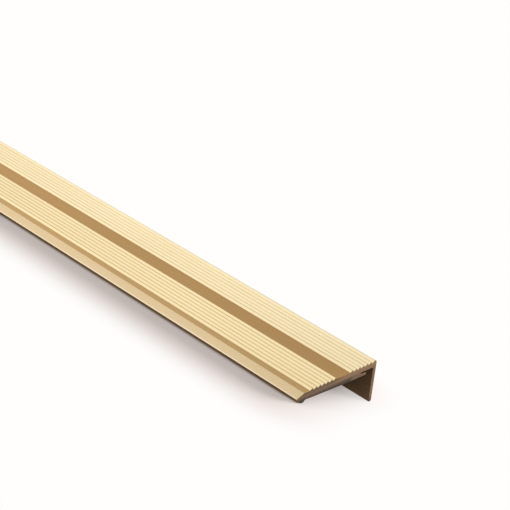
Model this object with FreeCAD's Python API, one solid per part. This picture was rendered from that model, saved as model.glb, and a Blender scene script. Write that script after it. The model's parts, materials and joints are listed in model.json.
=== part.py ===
import FreeCAD, Part
import math
import os

# Stair nosing cut from one aluminium extrusion: a ribbed tread deck with a bevelled front edge,
# and a plain leg turned down along the rear edge to cover the riser.
# All sizes are in millimetres. Depths count down from the plane of the rib crests,
# and widths count from the leg's outer face towards the thin front edge.

# Cut length, with both ends sawn square
profile_length = 900.0

# Grip ribs, in two groups of equal triangular ribs
ribs_per_group = 7
rib_pitch = 2.25
rib_height = 1.1
crest_radius = 0.15
groove_radius = 0.1

# Plain bands of the deck
band_depth = 0.75
centre_band_width = 7.8
front_band_width = 3.3

# Rounded corner over the leg, with a narrow land up to the last crest
corner_radius = 1.3
corner_land = 0.2

# Bevelled front edge and its short blunt nose
bevel_width = 4.2
bevel_drop = 1.45
nose_height = 1.4
nose_top_radius = 0.35
nose_bottom_radius = 0.5

# Toe, the narrow foot behind the nose that meets the floor covering
toe_setback = 3.1
toe_width = 1.0
toe_back_run = 1.0
toe_radius = 0.45
toe_back_radius = 0.3

# Metal under the grooves, and the thicker pad under most of the deck.
# The pad is level with the toe at its rear and hollowed towards the toe.
floor_thickness = 2.1
slot_height = 0.85
slot_reach = 3.2
slot_radius = 0.3
pad_lip_thickness = 1.1
pad_lip_radius = 0.25
pad_level_width = 12.7
pad_hollow = 0.95
pad_to_leg_gap = 4.25

# Leg that covers the riser
leg_depth = 20.3
leg_thickness = 1.75
inner_corner_radius = 0.6
foot_radius = 0.7

# Largest share of a wall that one rounded edge may take
edge_share = 0.45


def section_point(across, up):
    """Point of the cross-section, in the plane square to the length."""
    return FreeCAD.Vector(0.0, across, up)


def edge_radius(radius, wall):
    """Radius of a rounded edge, limited by the wall that it ends."""
    return min(radius, edge_share * wall)


def corner_arc(before, corner, after, radius):
    """Start, middle, end and centre of the arc that rounds one corner of an outline."""
    to_before = (before - corner).normalize()
    to_after = (after - corner).normalize()
    half_angle = to_before.getAngle(to_after) / 2
    bisector = (to_before + to_after).normalize()
    tangent_length = radius / math.tan(half_angle)
    centre = corner + bisector * (radius / math.sin(half_angle))
    start = corner + to_before * tangent_length
    end = corner + to_after * tangent_length
    return start, centre - bisector * radius, end, centre


def rounded_outline(corners):
    """Closed wire through (point, radius) corners, with an arc at each corner that has a radius."""
    edges = []
    stretches = []
    for index, (corner, radius) in enumerate(corners):
        before = corners[index - 1][0]
        after = corners[(index + 1) % len(corners)][0]
        if radius > 0:
            start, middle, end, _ = corner_arc(before, corner, after, radius)
            stretches.append((start, end, Part.Arc(start, middle, end).toShape()))
        else:
            stretches.append((corner, corner, None))
    for index, (start, end, arc) in enumerate(stretches):
        following_start = stretches[(index + 1) % len(stretches)][0]
        if arc:
            edges.append(arc)
        edges.append(Part.makeLine(end, following_start))
    return Part.Wire(edges)


def rib_group(first_foot, ribs):
    """Corners of a group of ribs, from the foot of its first front flank to its last crest."""
    corners = [(section_point(first_foot, -band_depth), 0.0)]
    for rib in range(ribs):
        crest = first_foot + (rib + 0.5) * rib_pitch
        corners.append((section_point(crest, 0.0), crest_radius))
        if rib < ribs - 1:
            corners.append((section_point(crest + rib_pitch / 2, -rib_height), groove_radius))
    return corners


# Stations across the deck, from the leg to the front edge
last_crest = -(corner_radius + corner_land)
rear_ribs_start = last_crest - (ribs_per_group - 0.5) * rib_pitch
front_ribs_end = rear_ribs_start - centre_band_width
front_ribs_start = front_ribs_end - ribs_per_group * rib_pitch
bevel_top = front_ribs_start - front_band_width
tip = bevel_top - bevel_width

# Stations along the underside
toe_front = tip + toe_setback
toe_back = toe_front + toe_width
pad_front = toe_back + toe_back_run
pad_rear = -(leg_thickness + pad_to_leg_gap)
pad_level_front = pad_rear - pad_level_width
slot_end = pad_rear - slot_reach

# Levels of the deck, the underside and the foot
nose_top = -(band_depth + bevel_drop)
nose_bottom = nose_top - nose_height
flange_underside = -(rib_height + floor_thickness)
slot_floor = flange_underside - slot_height
pad_level = slot_floor - pad_lip_thickness
pad_front_level = pad_level + pad_hollow
foot_level = -leg_depth

# Edge radii, each limited by its wall
foot_edge = edge_radius(foot_radius, leg_thickness)
lip_edge = edge_radius(pad_lip_radius, pad_lip_thickness)
slot_edge = edge_radius(slot_radius, slot_height)

nose_top_corner = (section_point(tip, nose_top), edge_radius(nose_top_radius, nose_height))
nose_bottom_corner = (section_point(tip, nose_bottom), edge_radius(nose_bottom_radius, nose_height))
toe_front_corner = (section_point(toe_front, pad_level), edge_radius(toe_radius, toe_width))
toe_back_corner = (section_point(toe_back, pad_level), edge_radius(toe_back_radius, toe_width))
foot_outer_corner = (section_point(0.0, foot_level), foot_edge)
foot_inner_corner = (section_point(-leg_thickness, foot_level), foot_edge)
inner_corner = (section_point(-leg_thickness, flange_underside), inner_corner_radius)

deck = [nose_top_corner, (section_point(bevel_top, -band_depth), 0.0)]
deck += rib_group(front_ribs_start, ribs_per_group)
deck += [(section_point(front_ribs_end, -band_depth), 0.0)]
deck += rib_group(rear_ribs_start, ribs_per_group)
deck += [(section_point(0.0, 0.0), corner_radius)]

leg = [foot_outer_corner, foot_inner_corner, inner_corner]

underside = [
    (section_point(slot_end, flange_underside), slot_edge),
    (section_point(slot_end, slot_floor), slot_edge),
    (section_point(pad_rear, slot_floor), lip_edge),
    (section_point(pad_rear, pad_level), lip_edge),
    (section_point(pad_level_front, pad_level), 0.0),
    (section_point(pad_front, pad_front_level), 0.0),
    toe_back_corner,
    toe_front_corner,
    nose_bottom_corner,
]

section = Part.Face(rounded_outline(deck + leg + underside))
profile = section.extrude(FreeCAD.Vector(profile_length, 0.0, 0.0))
profile.translate(FreeCAD.Vector(-profile_length / 2, 0.0, 0.0))

# Laid down loose, the profile rests on the round of its toe and the inner round of its foot.
# The angle levels the line that touches both rounds from below.
toe_round = corner_arc(toe_back_corner[0], toe_front_corner[0], nose_bottom_corner[0], toe_front_corner[1])[3]
foot_round = corner_arc(foot_outer_corner[0], foot_inner_corner[0], inner_corner[0], foot_inner_corner[1])[3]
span = foot_round - toe_round
centre_line_angle = math.atan2(span.z, span.y)
round_difference = foot_inner_corner[1] - toe_front_corner[1]
rest_angle = math.asin(round_difference / span.Length) - centre_line_angle
profile.rotate(FreeCAD.Vector(0.0, 0.0, 0.0), FreeCAD.Vector(1.0, 0.0, 0.0), math.degrees(rest_angle))

# Origin in the middle of the rectangle that the resting profile covers, on the floor
extent = profile.optimalBoundingBox(False, False)
profile.translate(FreeCAD.Vector(-extent.Center.x, -extent.Center.y, -extent.ZMin))

os.makedirs("parts", exist_ok=True)
profile.exportStep("parts/nosing_profile.step")

print("rest angle", round(math.degrees(rest_angle), 3))
print("section area", round(section.Area, 2), "volume", round(profile.Volume, 1), "valid", profile.isValid())
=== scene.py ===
"""Looks of a gold anodised stair nosing: one ribbed aluminium extrusion, lying loose on a white table."""

import json
import logging
import math
from dataclasses import dataclass, field
from enum import Enum

import bmesh
import bpy
from mathutils import Matrix, Vector
from mathutils.geometry import delaunay_2d_cdt


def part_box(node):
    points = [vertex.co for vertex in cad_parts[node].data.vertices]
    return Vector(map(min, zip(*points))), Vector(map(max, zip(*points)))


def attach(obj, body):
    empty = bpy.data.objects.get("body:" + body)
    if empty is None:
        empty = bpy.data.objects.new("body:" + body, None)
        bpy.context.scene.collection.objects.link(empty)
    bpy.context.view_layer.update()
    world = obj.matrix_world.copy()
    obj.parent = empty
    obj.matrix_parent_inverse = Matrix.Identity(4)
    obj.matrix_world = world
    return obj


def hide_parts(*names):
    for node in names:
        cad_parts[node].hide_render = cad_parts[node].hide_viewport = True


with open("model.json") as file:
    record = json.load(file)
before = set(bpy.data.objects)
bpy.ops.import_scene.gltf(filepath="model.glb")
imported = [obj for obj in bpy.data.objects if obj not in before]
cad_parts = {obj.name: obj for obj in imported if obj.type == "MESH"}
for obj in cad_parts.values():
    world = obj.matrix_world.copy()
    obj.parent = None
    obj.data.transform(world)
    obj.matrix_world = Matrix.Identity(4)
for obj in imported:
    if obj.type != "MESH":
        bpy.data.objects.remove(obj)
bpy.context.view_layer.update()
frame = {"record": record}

NODE = "nosing_profile"
PIECE = "anodised_nosing"
BODY = "root"
RISER_MOUNT = "riser_face"
MM = 0.001
SHARP = 0.0

# Triangles fill the inside of a sawn end's outline, and points nearer than the limit in mm are joined.
INSIDE_OUTLINE = 1
MERGE_LIMIT = 1e-5

# Noise is this on average and seldom leaves this range.
NOISE_MIDDLE = 0.5
NOISE_RANGE = (0.34, 0.66)

# A Mix node's sockets for colours, by index, because they share their names with those for numbers.
MIX_SHARE = 0
MIX_FIRST = 6
MIX_SECOND = 7
MIX_RESULT = 2

Colour = tuple[float, float, float, float]
Triple = tuple[float, float, float]
Span = tuple[float, float]

log = logging.getLogger("nosing")


class Zone(Enum):
    """Faces of the profile that look alike, in the order of their material slots."""

    FRONT_RIB = 0
    REAR_RIB = 1
    WIDE_BAND = 2
    NARROW_BAND = 3
    BEVEL = 4
    LEG = 5
    UNDERSIDE = 6
    DULL_FACE = 7
    SLOT = 8
    WORN_EDGE = 9
    REAR_CORNER = 10
    SAWN_END = 11


class Gloss(Enum):
    """Roughness of the metal, from its brightest face to its dullest."""

    WORN = 0.30
    SMOOTH = 0.34
    SATIN = 0.36
    DULL = 0.42
    SAWN = 0.50


class Rise(Enum):
    """How a ramp rises, in the Map Range node's words."""

    STRAIGHT = "LINEAR"
    EASED = "SMOOTHSTEP"


class Field:
    """A shader value that is written into expressions, each operation of which adds a Math node."""

    def __init__(self, graph: "Graph", socket: bpy.types.NodeSocket) -> None:
        """Wrap one output socket.

        Args:
            graph: The node graph that new Math nodes go into.
            socket: The output socket that carries the value.
        """
        self.graph = graph
        self.socket = socket

    def combined(self, operation: str, first: "Field | float", second: "Field | float") -> "Field":
        """Add one Math node.

        Args:
            operation: The Math node's operation.
            first: Its first value.
            second: Its second value.

        Returns:
            The node's result.
        """
        node = self.graph.add("ShaderNodeMath", {"operation": operation}, {0: first, 1: second})
        return Field(self.graph, node.outputs[0])

    def __add__(self, other: "Field | float") -> "Field":
        """Sum of this value and another."""
        return self.combined("ADD", self, other)

    def __radd__(self, other: float) -> "Field":
        """Sum of a number and this value."""
        return self.combined("ADD", other, self)

    def __sub__(self, other: "Field | float") -> "Field":
        """This value less another."""
        return self.combined("SUBTRACT", self, other)

    def __rsub__(self, other: float) -> "Field":
        """A number less this value."""
        return self.combined("SUBTRACT", other, self)

    def __mul__(self, other: "Field | float") -> "Field":
        """Product of this value and another."""
        return self.combined("MULTIPLY", self, other)

    def __rmul__(self, other: float) -> "Field":
        """Product of a number and this value."""
        return self.combined("MULTIPLY", other, self)

    def __abs__(self) -> "Field":
        """This value without its sign."""
        return self.combined("ABSOLUTE", self, 0.0)

    def beyond(self, limit: float) -> "Field":
        """How far this value is above a limit, and 0 below it."""
        return self.combined("MAXIMUM", self - limit, 0.0)


class Graph:
    """A node tree that is filled by one call a node."""

    def __init__(self, tree: bpy.types.NodeTree) -> None:
        """Empty the tree and keep it.

        Args:
            tree: The node tree of a material or of the world.
        """
        tree.nodes.clear()
        self.tree = tree

    def add(
        self,
        kind: str,
        settings: dict[str, object] | None = None,
        sockets: dict[str | int, object] | None = None,
    ) -> bpy.types.Node:
        """Add one node.

        Args:
            kind: The node's type.
            settings: Its own settings, which are set first.
            sockets: Values or links of its input sockets, by name or by index.

        Returns:
            The new node.
        """
        node = self.tree.nodes.new(kind)
        for name, setting in (settings or {}).items():
            setattr(node, name, setting)
        for name, value in (sockets or {}).items():
            self.feed(node.inputs[name], value)
        return node

    def feed(self, socket: bpy.types.NodeSocket, value: object) -> None:
        """Link a socket, or set its own value.

        Args:
            socket: The input socket.
            value: A field or an output socket to link, or a plain value.
        """
        if isinstance(value, Field):
            self.tree.links.new(value.socket, socket)
        elif isinstance(value, bpy.types.NodeSocket):
            self.tree.links.new(value, socket)
        else:
            socket.default_value = value

    def place(self, cells: Triple = (1.0, 1.0, 1.0)) -> bpy.types.NodeSocket:
        """Coordinates on the surface, along the frame's axes.

        Args:
            cells: Cells per metre along X, Y and Z.

        Returns:
            The coordinates in cells, or in metres where no cells are given.
        """
        here = self.add("ShaderNodeTexCoord").outputs["Object"]
        return self.add("ShaderNodeMapping", {}, {"Vector": here, "Scale": cells}).outputs["Vector"]

    def cells(self, length: float, width: float) -> bpy.types.NodeSocket:
        """Coordinates in cells of one length along the profile and one width across it.

        Args:
            length: A cell's length in metres.
            width: Its width in metres.

        Returns:
            The coordinates.
        """
        return self.place((1 / length, 1 / width, 1 / width))

    def along(self, axis: str, place: bpy.types.NodeSocket) -> Field:
        """Coordinate of a place along the axis X, Y or Z."""
        split = self.add("ShaderNodeSeparateXYZ", {}, {"Vector": place})
        return Field(self, split.outputs[axis])

    def measured(self, operation: str, *vectors: object) -> Field:
        """Number that a Vector Math node works out.

        Args:
            operation: The node's operation.
            *vectors: Its vectors, as links or plain values.

        Returns:
            The node's value.
        """
        node = self.add("ShaderNodeVectorMath", {"operation": operation}, dict(enumerate(vectors)))
        return Field(self, node.outputs["Value"])

    def noise(
        self, place: bpy.types.NodeSocket | Field, detail: float = 2.0, roughness: float = 0.5
    ) -> Field:
        """Smooth noise.

        Args:
            place: Coordinates in cells, or one coordinate in cells for noise that follows it alone.
            detail: Octaves of finer noise.
            roughness: Share of each finer octave.

        Returns:
            The noise value.
        """
        one_way = isinstance(place, Field)
        texture = self.add(
            "ShaderNodeTexNoise",
            {"noise_dimensions": "1D" if one_way else "3D"},
            {"W" if one_way else "Vector": place, "Scale": 1.0, "Detail": detail, "Roughness": roughness},
        )
        return Field(self, texture.outputs[0])

    def limited(self, value: Field, low: float, high: float, rise: Rise = Rise.STRAIGHT) -> Field:
        """Ramp that rises from 0 at one value to 1 at another and stays within them.

        Args:
            value: What the ramp follows.
            low: The value where it starts.
            high: The value where it ends.
            rise: How it rises.

        Returns:
            The share between the two.
        """
        ramp = self.add(
            "ShaderNodeMapRange",
            {"clamp": True, "interpolation_type": rise.value},
            {"Value": value, "From Min": low, "From Max": high},
        )
        return Field(self, ramp.outputs[0])

    def tint(self, share: Field, first: object, second: object) -> bpy.types.NodeSocket:
        """Mix two colours.

        Args:
            share: Share of the second colour.
            first: The first colour.
            second: The second colour.

        Returns:
            The mixed colour.
        """
        sockets = {MIX_SHARE: share, MIX_FIRST: first, MIX_SECOND: second}
        return self.add("ShaderNodeMix", {"data_type": "RGBA"}, sockets).outputs[MIX_RESULT]

    def relief(self, strength: float, depth: float, height: Field) -> bpy.types.NodeSocket:
        """Raise and sink the surface by a bump.

        Args:
            strength: Share of the relief that shows.
            depth: How far it rises in metres.
            height: Where it rises.

        Returns:
            The bumped normal.
        """
        sockets = {"Strength": strength, "Distance": depth, "Height": height}
        return self.add("ShaderNodeBump", {}, sockets).outputs["Normal"]

    def either(self, share: Field, first: bpy.types.Node, second: bpy.types.Node) -> bpy.types.Node:
        """Mix two shaders.

        Args:
            share: Share of the second shader.
            first: The first shader.
            second: The second shader.

        Returns:
            The Mix Shader node.
        """
        return self.add("ShaderNodeMixShader", {}, {0: share, 1: first.outputs[0], 2: second.outputs[0]})

    def end_in(self, output: str, shader: bpy.types.Node) -> None:
        """Lead the last shader to an output node of the given type."""
        self.add(output, {}, {"Surface": shader.outputs[0]})


def bare_material(name: str) -> tuple[bpy.types.Material, Graph]:
    """Make a material that has no nodes yet.

    Args:
        name: The material's name.

    Returns:
        The material and its empty graph.
    """
    material = bpy.data.materials.new(name)
    material.use_nodes = True
    return material, Graph(material.node_tree)


@dataclass(frozen=True)
class DepthShade:
    """Metal painted another colour below a depth, such as the painted shade in the grooves between the
    ribs.

    It lies above the depth instead where it starts deeper than it is full. Where it has a fade, it goes
    out over that span of Y from front to back, or from back to front where the span runs that way.
    """

    up: Vector
    crest_level: float
    start_depth: float
    full_depth: float
    colour: Colour
    most: float = 1.0
    fade: Span | None = None

    def share(self, graph: Graph, waver: Field) -> Field:
        """Share of the shade's colour.

        Args:
            graph: The material's graph.
            waver: Noise that makes the shade's edge a little uneven.

        Returns:
            0 at the first depth, rising to the most at the second.
        """
        place = graph.place()
        depth = self.crest_level - graph.measured("DOT_PRODUCT", place, self.up)
        uneven = depth + (waver - NOISE_MIDDLE) * (self.full_depth - self.start_depth)
        share = graph.limited(uneven, self.start_depth, self.full_depth) * self.most
        if self.fade:
            share = share * (1.0 - graph.limited(graph.along("Y", place), *self.fade))
        return share

    def over(self, colour: bpy.types.NodeSocket, graph: Graph, waver: Field) -> bpy.types.NodeSocket:
        """Lay the shade over a colour.

        Args:
            colour: The colour without the shade.
            graph: The material's graph.
            waver: Noise that makes the shade's edge a little uneven.

        Returns:
            The shaded colour.
        """
        return graph.tint(self.share(graph, waver), colour, self.colour)


@dataclass(frozen=True)
class AnodisedFinish:
    """Dyed and sealed aluminium, with the faint lines that the extrusion die leaves along it.

    Lines, clouds and grain are three noises, drawn out along the profile. Their shares of the colour add up
    to 1, and a gloss swing is what a noise's whole range from 0 to 1 would add to the roughness.
    """

    name: str
    deep: Colour
    light: Colour
    gloss: Gloss
    grooves: DepthShade | None = None
    edge_tint: Colour = (1.0, 0.86, 0.62, 1.0)
    metallic: float = 1.0
    coat: float = 0.15
    coat_roughness: float = 0.25
    line_length: float = 300 * MM
    line_pitch: float = 0.7 * MM
    line_detail: float = 3.0
    line_roughness: float = 0.6
    line_share: float = 0.5
    line_gloss_swing: float = 0.10
    cloud_length: float = 56 * MM
    cloud_width: float = 14 * MM
    cloud_share: float = 0.3
    cloud_gloss_swing: float = 0.06
    grain_length: float = 1.8 * MM
    grain_width: float = 0.9 * MM
    grain_share: float = 0.2
    relief_depth: float = 0.004 * MM
    relief_strength: float = 0.6
    relief_grain_share: float = 0.2

    def material(self) -> bpy.types.Material:
        """Build the material.

        Returns:
            The material, with its lines, clouds and grain.
        """
        material, graph = bare_material(self.name)
        line_cells = graph.cells(self.line_length, self.line_pitch)
        lines = graph.noise(line_cells, self.line_detail, self.line_roughness)
        clouds = graph.noise(graph.cells(self.cloud_length, self.cloud_width))
        grain = graph.noise(graph.cells(self.grain_length, self.grain_width))
        uneven = lines * self.line_share + clouds * self.cloud_share + grain * self.grain_share
        colour = graph.tint(graph.limited(uneven, *NOISE_RANGE), self.deep, self.light)
        if self.grooves:
            colour = self.grooves.over(colour, graph, lines)
        line_gloss = (lines - NOISE_MIDDLE) * self.line_gloss_swing
        cloud_gloss = (clouds - NOISE_MIDDLE) * self.cloud_gloss_swing
        height = lines * (1 - self.relief_grain_share) + grain * self.relief_grain_share
        surface = graph.add(
            "ShaderNodeBsdfPrincipled",
            {},
            {
                "Base Color": colour,
                "Metallic": self.metallic,
                "Roughness": self.gloss.value + line_gloss + cloud_gloss,
                "Normal": graph.relief(self.relief_strength, self.relief_depth, height),
                "Coat Weight": self.coat,
                "Coat Roughness": self.coat_roughness,
                "Specular Tint": self.edge_tint,
            },
        )
        graph.end_in("ShaderNodeOutputMaterial", surface)
        return material


@dataclass(frozen=True)
class SawnFinish:
    """Bare metal of a cut end, dulled and blotched, with the arcs that the saw blade leaves. Its dark brown
    is painted shade.

    The blade's axis is parallel to the profile, so the arcs follow the distance from it across the end.
    """

    shades: tuple[DepthShade, ...]
    name: str = "sawn_end"
    # Painted shade: the end's base is a dark brown rather than the pale of bare aluminium.
    deep: Colour = (0.120, 0.074, 0.044, 1.0)
    light: Colour = (0.234, 0.147, 0.085, 1.0)
    gloss: Gloss = Gloss.SAWN
    metallic: float = 0.6
    blade_axis: Triple = (0.0, -60 * MM, 135 * MM)
    arc_pitch: float = 0.35 * MM
    arc_share: float = 0.3
    arc_gloss_swing: float = 0.1
    blotch_size: float = 0.6 * MM
    blotch_detail: float = 3.0
    blotch_roughness: float = 0.6
    blotch_share: float = 0.7
    blotch_gloss_swing: float = 0.2
    relief_depth: float = 0.02 * MM
    relief_strength: float = 0.7

    def material(self) -> bpy.types.Material:
        """Build the material.

        Returns:
            The material, with its arcs, blotches and shades.
        """
        material, graph = bare_material(self.name)
        across_only = graph.place((0.0, 1.0, 1.0))
        arcs = graph.noise(graph.measured("DISTANCE", across_only, self.blade_axis) * (1 / self.arc_pitch))
        blotch_cells = graph.cells(self.blotch_size, self.blotch_size)
        blotches = graph.noise(blotch_cells, self.blotch_detail, self.blotch_roughness)
        uneven = arcs * self.arc_share + blotches * self.blotch_share
        colour = graph.tint(graph.limited(uneven, *NOISE_RANGE), self.deep, self.light)
        for shade in self.shades:
            colour = shade.over(colour, graph, blotches)
        arc_gloss = (arcs - NOISE_MIDDLE) * self.arc_gloss_swing
        blotch_gloss = (blotches - NOISE_MIDDLE) * self.blotch_gloss_swing
        surface = graph.add(
            "ShaderNodeBsdfPrincipled",
            {},
            {
                "Base Color": colour,
                "Metallic": self.metallic,
                "Roughness": self.gloss.value + blotch_gloss + arc_gloss,
                "Normal": graph.relief(self.relief_strength, self.relief_depth, arcs + blotches),
            },
        )
        graph.end_in("ShaderNodeOutputMaterial", surface)
        return material


@dataclass(frozen=True)
class Corner:
    """One corner of the section: its place, the radius that rounds it, and the zone that starts there.

    A zone before the turn takes the first half of the rounding.
    """

    across: float
    up: float
    radius: float
    zone: Zone
    zone_before: Zone | None = None

    def point(self) -> Vector:
        """The sharp corner as a point of the plane across the profile."""
        return Vector((0.0, self.across, self.up))


@dataclass(frozen=True)
class RimPoint:
    """One point of the rounded outline, with its outward normal where it lies on a rounded corner."""

    place: Vector
    normal: Vector | None
    zone: Zone


@dataclass
class NosingSection:
    """Cross-section of the nosing, with the rib crests at height 0 and the leg's outer face at 0 across."""

    ribs_per_group: int = 7
    rib_pitch: float = 2.25 * MM
    rib_height: float = 1.1 * MM
    crest_radius: float = 0.15 * MM
    groove_radius: float = 0.1 * MM
    band_depth: float = 0.75 * MM
    centre_band_width: float = 7.8 * MM
    front_band_width: float = 3.3 * MM
    corner_radius: float = 1.3 * MM
    corner_land: float = 0.2 * MM
    bevel_width: float = 4.2 * MM
    bevel_drop: float = 1.45 * MM
    nose_height: float = 1.4 * MM
    nose_top_radius: float = 0.35 * MM
    nose_bottom_radius: float = 0.5 * MM
    # Width of the painted highlight along the nose's top edge.
    highlight_width: float = 0.55 * MM
    toe_setback: float = 3.1 * MM
    toe_width: float = 1.0 * MM
    toe_back_run: float = 1.0 * MM
    toe_radius: float = 0.45 * MM
    toe_back_radius: float = 0.3 * MM
    floor_thickness: float = 2.1 * MM
    slot_height: float = 0.85 * MM
    slot_reach: float = 3.2 * MM
    slot_radius: float = 0.3 * MM
    pad_lip_thickness: float = 1.1 * MM
    pad_lip_radius: float = 0.25 * MM
    pad_level_width: float = 12.7 * MM
    pad_hollow: float = 0.95 * MM
    pad_to_leg_gap: float = 4.25 * MM
    leg_depth: float = 20.3 * MM
    leg_thickness: float = 1.75 * MM
    inner_corner_radius: float = 0.6 * MM
    foot_radius: float = 0.7 * MM
    chord_angle: float = math.radians(14)
    fewest_chords: int = 2

    def rib_group(self, first_foot: float, zone: Zone) -> list[Corner]:
        """Corners of one group of ribs.

        Args:
            first_foot: Where the first front flank starts.
            zone: The group's zone.

        Returns:
            The corners from that foot to the last crest.
        """
        corners = [Corner(first_foot, -self.band_depth, SHARP, zone)]
        for rib in range(self.ribs_per_group):
            crest = first_foot + (rib + 0.5) * self.rib_pitch
            corners.append(Corner(crest, 0.0, self.crest_radius, zone))
            if rib < self.ribs_per_group - 1:
                groove = crest + self.rib_pitch / 2
                corners.append(Corner(groove, -self.rib_height, self.groove_radius, zone))
        return corners

    def corners(self) -> list[Corner]:
        """Lay out the section from its sizes.

        Returns:
            All its corners, from the nose over the deck, down the leg and back below.
        """
        last_crest = -(self.corner_radius + self.corner_land)
        rear_ribs = last_crest - (self.ribs_per_group - 0.5) * self.rib_pitch
        front_ribs_end = rear_ribs - self.centre_band_width
        front_ribs = front_ribs_end - self.ribs_per_group * self.rib_pitch
        bevel_top = front_ribs - self.front_band_width
        tip = bevel_top - self.bevel_width
        toe_front = tip + self.toe_setback
        toe_back = toe_front + self.toe_width
        pad_rear = -(self.leg_thickness + self.pad_to_leg_gap)
        slot_end = pad_rear - self.slot_reach
        nose_top = -(self.band_depth + self.bevel_drop)
        highlight_rise = self.bevel_drop * self.highlight_width / self.bevel_width
        flange = -(self.rib_height + self.floor_thickness)
        slot_floor = flange - self.slot_height
        pad_level = slot_floor - self.pad_lip_thickness
        pad_front_level = pad_level + self.pad_hollow
        return [
            Corner(tip, nose_top, self.nose_top_radius, Zone.WORN_EDGE, Zone.DULL_FACE),
            Corner(tip + self.highlight_width, nose_top + highlight_rise, SHARP, Zone.BEVEL),
            Corner(bevel_top, -self.band_depth, SHARP, Zone.NARROW_BAND),
            *self.rib_group(front_ribs, Zone.FRONT_RIB),
            Corner(front_ribs_end, -self.band_depth, SHARP, Zone.WIDE_BAND),
            *self.rib_group(rear_ribs, Zone.REAR_RIB)[:-1],
            # The last rear crest is drawn as the start of the rear corner.
            Corner(last_crest, 0.0, self.crest_radius, Zone.REAR_CORNER, Zone.REAR_RIB),
            Corner(0.0, 0.0, self.corner_radius, Zone.LEG, Zone.REAR_CORNER),
            Corner(0.0, -self.leg_depth, self.foot_radius, Zone.LEG),
            Corner(-self.leg_thickness, -self.leg_depth, self.foot_radius, Zone.UNDERSIDE),
            Corner(-self.leg_thickness, flange, self.inner_corner_radius, Zone.UNDERSIDE),
            Corner(pad_rear, flange, SHARP, Zone.SLOT),
            Corner(slot_end, flange, self.slot_radius, Zone.SLOT),
            Corner(slot_end, slot_floor, self.slot_radius, Zone.SLOT),
            Corner(pad_rear, slot_floor, self.pad_lip_radius, Zone.UNDERSIDE),
            Corner(pad_rear, pad_level, self.pad_lip_radius, Zone.UNDERSIDE),
            Corner(pad_rear - self.pad_level_width, pad_level, SHARP, Zone.UNDERSIDE),
            Corner(toe_back + self.toe_back_run, pad_front_level, SHARP, Zone.UNDERSIDE),
            Corner(toe_back, pad_level, self.toe_back_radius, Zone.UNDERSIDE),
            Corner(toe_front, pad_level, self.toe_radius, Zone.DULL_FACE),
            Corner(tip, nose_top - self.nose_height, self.nose_bottom_radius, Zone.DULL_FACE),
        ]

    def rounded(self, before: Corner, corner: Corner, after: Corner) -> list[RimPoint]:
        """Points of one corner, rounded by short chords where it has a radius.

        Args:
            before: The corner before it.
            corner: The corner itself.
            after: The corner after it.

        Returns:
            The corner's one point, or the points of its rounding in order.
        """
        here = corner.point()
        if corner.radius == SHARP:
            return [RimPoint(here, None, corner.zone)]
        to_before = (before.point() - here).normalized()
        to_after = (after.point() - here).normalized()
        half_angle = to_before.angle(to_after) / 2
        centre = here + (to_before + to_after).normalized() * (corner.radius / math.sin(half_angle))
        start = here + to_before * (corner.radius / math.tan(half_angle)) - centre
        sweep = math.copysign(math.pi - 2 * half_angle, to_before.cross(start).x)
        outward = -math.copysign(1.0, sweep)
        chords = max(self.fewest_chords, math.ceil(abs(sweep) / self.chord_angle))
        points = []
        for chord in range(chords + 1):
            radial = Matrix.Rotation(sweep * chord / chords, 3, "X") @ start
            zone = corner.zone_before if corner.zone_before and chord < chords / 2 else corner.zone
            points.append(RimPoint(centre + radial, radial.normalized() * outward, zone))
        return points

    def outline(self) -> list[RimPoint]:
        """Round the section's corners.

        Returns:
            The points around the whole section, in order.
        """
        corners = self.corners()
        before = corners[-1:] + corners[:-1]
        after = corners[1:] + corners[:1]
        points: list[RimPoint] = []
        for neighbours in zip(before, corners, after):
            points.extend(self.rounded(*neighbours))
        return points


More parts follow.
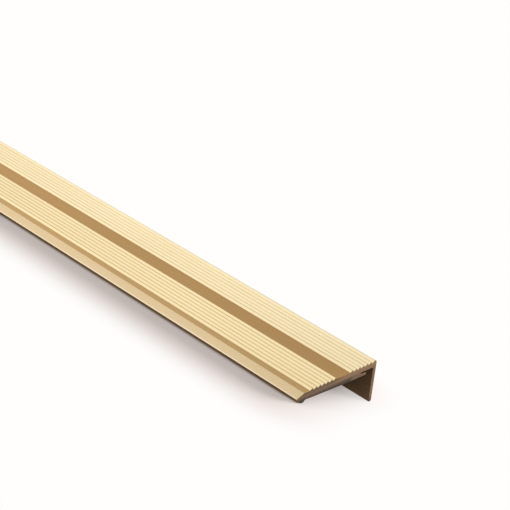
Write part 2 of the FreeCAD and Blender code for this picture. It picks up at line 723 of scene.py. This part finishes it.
@dataclass
class NosingFinishes:
    """Finishes of the nosing, with shades whose depths go down from the plane of the rib crests.

    The sawn ends are painted in tones: a warm copper on the rear of the deck and on the leg is painted
    reflection, and the ends are darker brown on the front ribs, on the pad, below the rear of the deck and
    at the foot. An edge is the height over which a tone comes in. The pad's comes in from its rise above
    the flange's underside to its drop below it, and the foot's from its start above the foot to where it is
    full.
    A part is the span of Y over which a tone goes out.
    """

    section: NosingSection
    up: Vector
    crest_level: float
    # Paler reflection colour for the painted highlight on the rear corner.
    pale_edge_tint: Colour = (1.0, 0.95, 0.85, 1.0)
    # Painted shade in the grooves between the ribs, darker at the front ribs than at the rear ones.
    front_groove_shade: Colour = (0.41, 0.285, 0.13, 1.0)
    rear_groove_shade: Colour = (0.50, 0.385, 0.21, 1.0)
    groove_start: float = 0.56
    groove_full: float = 0.90
    # Painted reflection: a warm copper over the rear of the deck and over the leg on the sawn ends.
    copper: Colour = (0.36, 0.20, 0.085, 1.0)
    copper_edge: float = 0.8 * MM
    deck_copper: float = 0.40
    leg_copper: float = 0.22
    # The sawn ends turn darker brown towards the bottom of the pad, below the rear of the deck, at the foot
    # and near the top at the front ribs.
    brown: Colour = (0.028, 0.019, 0.013, 1.0)
    below_brown: float = 0.10
    below_edge: float = 1.0 * MM
    rib_brown: float = 0.36
    rib_edge: float = 0.9 * MM
    pad_brown: float = 0.85
    pad_rise: float = 0.6 * MM
    pad_drop: float = 0.9 * MM
    foot_brown: float = 0.55
    foot_start: float = 3.5 * MM
    foot_full: float = 1.0 * MM
    front_part: Span = (-4.0 * MM, 0.0)
    rear_part: Span = (0.0, -6.0 * MM)
    pad_part: Span = (5.0 * MM, 7.0 * MM)
    leg_part: Span = (16.0 * MM, 13.0 * MM)

    def shade(
        self, start: float, full: float, colour: Colour, most: float = 1.0, fade: Span | None = None
    ) -> DepthShade:
        """Shade of the metal between two depths.

        Args:
            start: The depth where it starts.
            full: The depth where it is full.
            colour: Its colour.
            most: Its share where it is full.
            fade: The span of Y over which it goes out.

        Returns:
            The shade.
        """
        return DepthShade(self.up, self.crest_level, start, full, colour, most, fade)

    def grooves(self, colour: Colour) -> DepthShade:
        """Painted shade of the grooves between the ribs, in the given colour."""
        height = self.section.rib_height
        return self.shade(self.groove_start * height, self.groove_full * height, colour)

    def end_tones(self) -> tuple[DepthShade, ...]:
        """Set the painted tones of a sawn end at the depths of the section.

        Returns:
            Their shades, in the order in which each lies over the one before.
        """
        groove = self.section.rib_height
        flange = groove + self.section.floor_thickness
        foot = self.section.leg_depth
        return (
            self.shade(flange, flange - self.copper_edge, self.copper, self.deck_copper, self.rear_part),
            self.shade(flange - self.copper_edge, flange, self.copper, self.leg_copper, self.leg_part),
            self.shade(flange - self.below_edge, flange, self.brown, self.below_brown, self.rear_part),
            self.shade(groove + self.rib_edge, groove, self.brown, self.rib_brown, self.front_part),
            self.shade(
                flange - self.pad_rise, flange + self.pad_drop, self.brown, self.pad_brown, self.pad_part
            ),
            self.shade(foot - self.foot_start, foot - self.foot_full, self.brown, self.foot_brown),
        )

    def by_zone(self) -> dict[Zone, AnodisedFinish | SawnFinish]:
        """Choose the finishes, whose base colours carry painted light and shade.

        Returns:
            One finish for each zone.
        """
        return {
            # Painted light and shade: the deck is one gold, but the ribs are painted lighter and paler, the
            # front and rear ribs a little apart, the bands and bevel darker and more orange, and the leg a
            # deeper gold.
            Zone.FRONT_RIB: AnodisedFinish(
                name="gold_front_ribs",
                deep=(0.71, 0.577, 0.329, 1.0),
                light=(0.80, 0.666, 0.41, 1.0),
                gloss=Gloss.SATIN,
                grooves=self.grooves(self.front_groove_shade),
            ),
            Zone.REAR_RIB: AnodisedFinish(
                name="gold_rear_ribs",
                deep=(0.705, 0.589, 0.357, 1.0),
                light=(0.798, 0.686, 0.445, 1.0),
                gloss=Gloss.SATIN,
                grooves=self.grooves(self.rear_groove_shade),
            ),
            Zone.WIDE_BAND: AnodisedFinish(
                name="gold_wide_band",
                deep=(0.539, 0.321, 0.13, 1.0),
                light=(0.622, 0.383, 0.16, 1.0),
                gloss=Gloss.SMOOTH,
            ),
            Zone.NARROW_BAND: AnodisedFinish(
                name="gold_narrow_band",
                deep=(0.619, 0.404, 0.175, 1.0),
                light=(0.705, 0.482, 0.22, 1.0),
                gloss=Gloss.SMOOTH,
            ),
            Zone.BEVEL: AnodisedFinish(
                name="gold_bevel",
                deep=(0.636, 0.484, 0.277, 1.0),
                light=(0.732, 0.571, 0.344, 1.0),
                gloss=Gloss.SATIN,
            ),
            Zone.LEG: AnodisedFinish(
                name="gold_leg",
                deep=(0.62, 0.43, 0.20, 1.0),
                light=(0.75, 0.54, 0.27, 1.0),
                gloss=Gloss.SATIN,
            ),
            # Painted shade: the underside and the leg's inner face are painted dark brown for the shade
            # under the deck.
            Zone.UNDERSIDE: AnodisedFinish(
                name="painted_shade_underside",
                deep=(0.066, 0.04, 0.019, 1.0),
                light=(0.116, 0.07, 0.035, 1.0),
                gloss=Gloss.DULL,
            ),
            # Painted shade: the front faces of the nose and toe are painted dark brown for the shaded floor
            # that they face.
            Zone.DULL_FACE: AnodisedFinish(
                name="dull_gold_painted_shade",
                deep=(0.185, 0.126, 0.06, 1.0),
                light=(0.275, 0.193, 0.098, 1.0),
                gloss=Gloss.DULL,
            ),
            # Painted light: the slot's walls are a lighter, redder gold than the underside, so that the
            # slot in its shade doesn't turn black.
            Zone.SLOT: AnodisedFinish(
                name="gold_slot_painted_light",
                deep=(0.72, 0.45, 0.24, 1.0),
                light=(0.84, 0.56, 0.31, 1.0),
                gloss=Gloss.DULL,
            ),
            # Painted highlight: a lighter strip along the top edge of the nose.
            Zone.WORN_EDGE: AnodisedFinish(
                name="gold_edge_painted_highlight",
                deep=(0.725, 0.587, 0.40, 1.0),
                light=(0.818, 0.692, 0.51, 1.0),
                gloss=Gloss.WORN,
            ),
            # Painted highlight: the rounded rear corner is painted a pale, nearly white gold.
            Zone.REAR_CORNER: AnodisedFinish(
                name="rear_corner_painted_highlight",
                deep=(0.88, 0.80, 0.63, 1.0),
                light=(0.97, 0.89, 0.72, 1.0),
                gloss=Gloss.SATIN,
                edge_tint=self.pale_edge_tint,
            ),
            Zone.SAWN_END: SawnFinish(self.end_tones()),
        }


@dataclass
class NosingProfile:
    """The whole nosing: its section run out to full length, laid at rest and dressed."""

    section: NosingSection = field(default_factory=NosingSection)
    end_chamfer: float = 0.08 * MM
    long_face_limit: float = 0.01

    def rest_tilt(self) -> float:
        """Read the angle of the deck at rest from the direction that the leg's inner face points in.

        Returns:
            The angle in radians.

        Raises:
            KeyError: The record has no mount on that face.
        """
        for mount in frame["record"]["mounts"]:
            if mount["name"] == RISER_MOUNT:
                _, across, up = mount["axis"]
                return math.atan2(-up, -across)
        raise KeyError(RISER_MOUNT)

    def laid_down(self, points: list[RimPoint], spin: Matrix) -> list[RimPoint]:
        """Turn the section to its rest angle and set it in the frame's box.

        Args:
            points: The section's points.
            spin: The turn to the rest angle.

        Returns:
            The same points, tilted, centred across and standing on the floor.
        """
        low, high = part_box(NODE)
        turned = [spin @ point.place for point in points]
        widths = [place.y for place in turned]
        middle = (min(widths) + max(widths)) / 2
        shift = Vector((0.0, (low.y + high.y) / 2 - middle, low.z - min(place.z for place in turned)))
        return [
            RimPoint(place + shift, point.normal and spin @ point.normal, point.zone)
            for place, point in zip(turned, points)
        ]

    def inset(self, points: list[RimPoint]) -> list[Vector]:
        """Points moved into the section by the chamfer of a sawn end.

        Args:
            points: The section's points, in order.

        Returns:
            One inner point for each.
        """
        moved = []
        for index, point in enumerate(points):
            back = (point.place - points[index - 1].place).normalized()
            ahead = (points[(index + 1) % len(points)].place - point.place).normalized()
            along = (back + ahead).normalized()
            moved.append(point.place + Vector((0.0, along.z, -along.y)) * self.end_chamfer)
        return moved

    def mesh(self, rim: list[RimPoint]) -> bpy.types.Mesh:
        """Run the section out to full length and close its two sawn ends.

        Args:
            rim: The outline, in place.

        Returns:
            The mesh, with the true normals of its rounded edges.
        """
        low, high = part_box(NODE)
        inner = self.inset(rim)
        outer = [point.place for point in rim]
        stations = [
            (high.x, inner),
            (high.x - self.end_chamfer, outer),
            (low.x + self.end_chamfer, outer),
            (low.x, inner),
        ]
        editor = bmesh.new()
        rings = [[editor.verts.new((x, place.y, place.z)) for place in ring] for x, ring in stations]
        for ring, following in zip(rings, rings[1:]):
            for index, point in enumerate(rim):
                after = (index + 1) % len(rim)
                face = editor.faces.new((ring[index], ring[after], following[after], following[index]))
                face.material_index = point.zone.value
        flat = [Vector((place.y, place.z)) / MM for place in inner]
        triangles = delaunay_2d_cdt(flat, [], [range(len(flat))], INSIDE_OUTLINE, MERGE_LIMIT)[2]
        for ring in (rings[0], rings[-1]):
            for triangle in triangles:
                cap = editor.faces.new([ring[index] for index in triangle])
                cap.material_index = Zone.SAWN_END.value
        bmesh.ops.recalc_face_normals(editor, faces=editor.faces)
        for face in editor.faces:
            face.smooth = face.material_index != Zone.SAWN_END.value
        mesh = bpy.data.meshes.new(PIECE)
        editor.to_mesh(mesh)
        editor.free()
        self.set_normals(mesh, rim)
        return mesh

    def set_normals(self, mesh: bpy.types.Mesh, rim: list[RimPoint]) -> None:
        """Give each corner of the long faces the normal of the rounded edge that it lies on.

        Args:
            mesh: The mesh, whose vertices run ring by ring.
            rim: The outline, in place.
        """
        normals = []
        for face in mesh.polygons:
            long_face = abs(face.normal.x) < self.long_face_limit
            for vertex in face.vertices:
                rounded = rim[vertex % len(rim)].normal
                normals.append(rounded if long_face and rounded else face.normal.copy())
        mesh.normals_split_custom_set(normals)

    def build(self) -> bpy.types.Object:
        """Build the piece.

        Returns:
            The dressed object, which stands for the frame's node.
        """
        spin = Matrix.Rotation(self.rest_tilt(), 3, "X")
        rim = self.laid_down(self.section.outline(), spin)
        up = spin @ Vector((0.0, 0.0, 1.0))
        crest_level = max(point.place.dot(up) for point in rim if point.zone == Zone.FRONT_RIB)
        finishes = NosingFinishes(self.section, up, crest_level).by_zone()
        mesh = self.mesh(rim)
        for zone in Zone:
            mesh.materials.append(finishes[zone].material())
        piece = bpy.data.objects.new(PIECE, mesh)
        bpy.context.scene.collection.objects.link(piece)
        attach(piece, BODY)
        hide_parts(NODE)
        return piece


@dataclass(frozen=True)
class Softbox:
    """A studio lamp with an oblong front, aimed at one point and hidden from the camera.

    A brightness of 1 is as bright as plain white. A mirrored lamp shows in the metal's reflections.
    """

    name: str
    place: Triple
    width: float
    height: float
    brightness: float
    mirrored: bool

    def build(self, aim: Vector) -> bpy.types.Object:
        """Hang the lamp.

        Args:
            aim: The point that it faces.

        Returns:
            The lamp.
        """
        lamp = bpy.data.lights.new(self.name, "AREA")
        lamp.shape = "RECTANGLE"
        lamp.size = self.width
        lamp.size_y = self.height
        lamp.energy = self.brightness * math.pi * self.width * self.height
        holder = bpy.data.objects.new(self.name, lamp)
        holder.location = self.place
        holder.rotation_euler = (aim - holder.location).to_track_quat("-Z", "Y").to_euler()
        holder.visible_camera = False
        holder.visible_glossy = self.mirrored
        bpy.context.scene.collection.objects.link(holder)
        return holder


@dataclass
class Studio:
    """White table, white surroundings and soft lamps.

    The table keeps the profile's shadow on an area of the shaded size, whose ends draw in towards the back
    by the shaded slant, and turns plain white beyond it over the shadow's reach. On that area the plain
    white has a share of white_near. The backdrop is white below the low sky edge and grey above the high
    one, both the sine of an angle above the horizon.
    """

    table_width: float = 16.0
    table_colour: Colour = (0.99, 0.91, 0.90, 1.0)
    white: Colour = (1.0, 0.99, 0.975, 1.0)
    shaded_white: Colour = (1.0, 0.92, 0.88, 1.0)
    high_grey: Colour = (0.42, 0.416, 0.41, 1.0)
    fill: Colour = (0.32, 0.30, 0.28, 1.0)
    full_strength: float = 1.0
    white_near: float = 0.20
    shaded_size: tuple[float, float] = (860 * MM, 58 * MM)
    shaded_slant: float = 0.29
    shadow_reach: float = 40 * MM
    sky_low_edge: float = 0.45
    sky_high_edge: float = 0.95
    aim: Triple = (0.3, 0.0, 0.0)
    lamps: tuple[Softbox, ...] = (
        Softbox(
            name="front_left_softbox",
            place=(-0.70, -0.64, 1.12),
            width=1.5,
            height=1.5,
            brightness=0.62,
            mirrored=True,
        ),
        Softbox(
            name="rear_right_strip",
            place=(0.85, 1.35, 0.36),
            width=1.8,
            height=0.22,
            brightness=38.0,
            mirrored=False,
        ),
    )

    def build_table(self) -> bpy.types.Object:
        """Lay the table under the profile.

        Returns:
            The table, which isn't part of the object.
        """
        half = self.table_width / 2
        mesh = bpy.data.meshes.new("white_table")
        outline = [(-half, -half, 0.0), (half, -half, 0.0), (half, half, 0.0), (-half, half, 0.0)]
        mesh.from_pydata(outline, [], [(0, 1, 2, 3)])
        mesh.materials.append(self.table_material())
        table = bpy.data.objects.new("white_table", mesh)
        bpy.context.scene.collection.objects.link(table)
        return table

    def background_seen(self, graph: Graph) -> Field:
        """Tell the rays that see the background, straight or in the metal, from those that light things.

        Args:
            graph: The graph of the table's material or of the world.

        Returns:
            1 for a ray that sees the background, and 0 for any other.
        """
        paths = graph.add("ShaderNodeLightPath")
        straight = Field(graph, paths.outputs["Is Camera Ray"])
        mirrored = Field(graph, paths.outputs["Is Glossy Ray"])
        through = Field(graph, paths.outputs["Is Transmission Ray"])
        return graph.limited(straight + mirrored + through, 0.0, 1.0)

    def table_material(self) -> bpy.types.Material:
        """Build the table's white, which keeps the shadow near the profile and is plain further off.

        Returns:
            The material.
        """
        material, graph = bare_material("white_table")
        place = graph.place()
        length, width = self.shaded_size
        back = graph.along("Y", place)
        along = (abs(graph.along("X", place)) + back * self.shaded_slant).beyond(length / 2)
        across = abs(back).beyond(width / 2)
        outside = graph.add("ShaderNodeCombineXYZ", {}, {"X": along, "Y": across})
        distance = graph.measured("LENGTH", outside.outputs[0])
        away = graph.limited(distance, 0.0, self.shadow_reach, Rise.EASED)
        white_share = away * (1 - self.white_near) + self.white_near
        matt = graph.add("ShaderNodeBsdfDiffuse", {}, {"Color": self.table_colour})
        glow = graph.tint(away, self.shaded_white, self.white)
        white = graph.add("ShaderNodeEmission", {}, {"Color": glow, "Strength": self.full_strength})
        mixed = graph.either(self.background_seen(graph) * white_share, matt, white)
        graph.end_in("ShaderNodeOutputMaterial", mixed)
        return material

    def build_world(self) -> bpy.types.World:
        """Surround the table with a soft fill light and a backdrop, white low down and greyer above.

        Returns:
            The world, which is the scene's own.
        """
        world = bpy.data.worlds.new("studio")
        world.use_nodes = True
        bpy.context.scene.world = world
        graph = Graph(world.node_tree)
        coordinates = graph.add("ShaderNodeTexCoord")
        height = graph.along("Z", coordinates.outputs["Generated"])
        fade = graph.limited(height, self.sky_low_edge, self.sky_high_edge)
        backdrop_colour = graph.tint(fade, self.white, self.high_grey)
        sockets = {"Color": backdrop_colour, "Strength": self.full_strength}
        backdrop = graph.add("ShaderNodeBackground", {}, sockets)
        fill = graph.add("ShaderNodeBackground", {}, {"Color": self.fill, "Strength": self.full_strength})
        graph.end_in("ShaderNodeOutputWorld", graph.either(self.background_seen(graph), fill, backdrop))
        return world

    def build(self) -> list[bpy.types.ID]:
        """Build the table, the world and the lamps.

        Returns:
            What was built.
        """
        table = self.build_table()
        world = self.build_world()
        return [table, world, *(lamp.build(Vector(self.aim)) for lamp in self.lamps)]


@dataclass
class Viewpoint:
    """The camera, where the photograph was taken from, with its lens and sensor in millimetres."""

    place: Triple = (0.77986, -0.48622, 0.17299)
    azimuth: float = math.radians(39.089)
    elevation: float = math.radians(12.155)
    roll: float = math.radians(19.669)
    lens: float = 105.37
    sensor: float = 36.0

    def build(self) -> bpy.types.Object:
        """Set up the camera.

        Returns:
            The camera, which is the scene's own.
        """
        lens = bpy.data.cameras.new("photo_camera")
        lens.sensor_width = self.sensor
        lens.lens = self.lens
        camera = bpy.data.objects.new("photo_camera", lens)
        level = Matrix.Rotation(self.azimuth, 4, "Z")
        pitch = Matrix.Rotation(math.pi / 2 - self.elevation, 4, "X")
        tilt = Matrix.Rotation(self.roll, 4, "Z")
        camera.matrix_world = Matrix.Translation(self.place) @ level @ pitch @ tilt
        bpy.context.scene.collection.objects.link(camera)
        bpy.context.scene.camera = camera
        return camera


def main() -> None:
    """Build the profile, then the studio and the camera, and report each piece."""
    logging.basicConfig(level=logging.INFO, format="%(name)s: %(message)s")
    bpy.context.scene.view_settings.view_transform = "Standard"
    piece = NosingProfile().build()
    log.info("%s: %d faces, %d finishes", piece.name, len(piece.data.polygons), len(piece.data.materials))
    for built in (*Studio().build(), Viewpoint().build()):
        log.info("%s: built", built.name)


if __name__ == "__main__":
    main()
